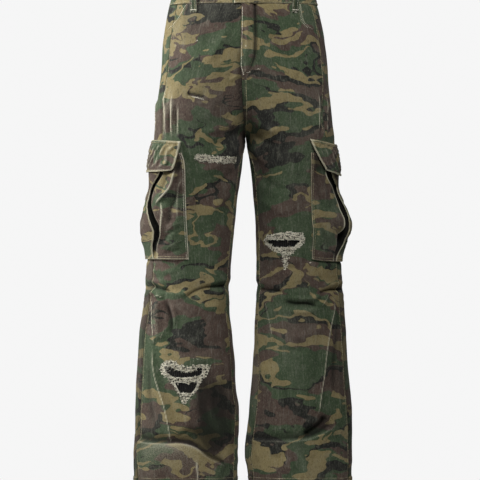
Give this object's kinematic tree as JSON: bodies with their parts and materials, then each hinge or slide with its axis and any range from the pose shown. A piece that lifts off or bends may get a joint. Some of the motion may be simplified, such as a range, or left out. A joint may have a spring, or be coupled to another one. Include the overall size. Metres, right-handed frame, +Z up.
{
  "type": "cargo jeans",
  "caption": "Wide-leg cargo jeans filled out as worn, open at waist and hems, with a bellows pocket under a flap on each thigh and worn holes backed with dark cloth.",
  "frame": {"origin": "middle of the waist opening, at half the height of the waistband, where the wearer holds the garment up", "axes": "+Z up, -Y is the front, +X is the wearer's left"},
  "size_m": [0.4693, 0.2752, 1.071],
  "materials": {
    "twill": "washed woodland camouflage cotton twill",
    "twill_band": "the same twill, in bands and loops",
    "backing": "black ribbed backing cloth",
    "button": "aged"
  },
  "bodies": {
    "root": {"front_left": "twill", "front_right": "twill", "back_left": "twill", "back_right": "twill", "waistband": "twill_band", "fly_shield": "twill_band", "shank_button": "button", "belt_loop_front_left": "twill_band", "belt_loop_front_right": "twill_band", "belt_loop_back_left": "twill_band", "belt_loop_back_right": "twill_band", "belt_loop_back_middle": "twill_band", "pocket_face_left": "twill", "pocket_flap_left": "twill", "pocket_face_right": "twill", "pocket_flap_right": "twill", "backing_knee_right": "backing", "backing_shin_left": "backing", "pocket_bellows_front_left": "twill", "pocket_bellows_back_left": "twill", "pocket_bellows_front_right": "twill", "pocket_bellows_back_right": "twill"}
  },
  "joints": []
}
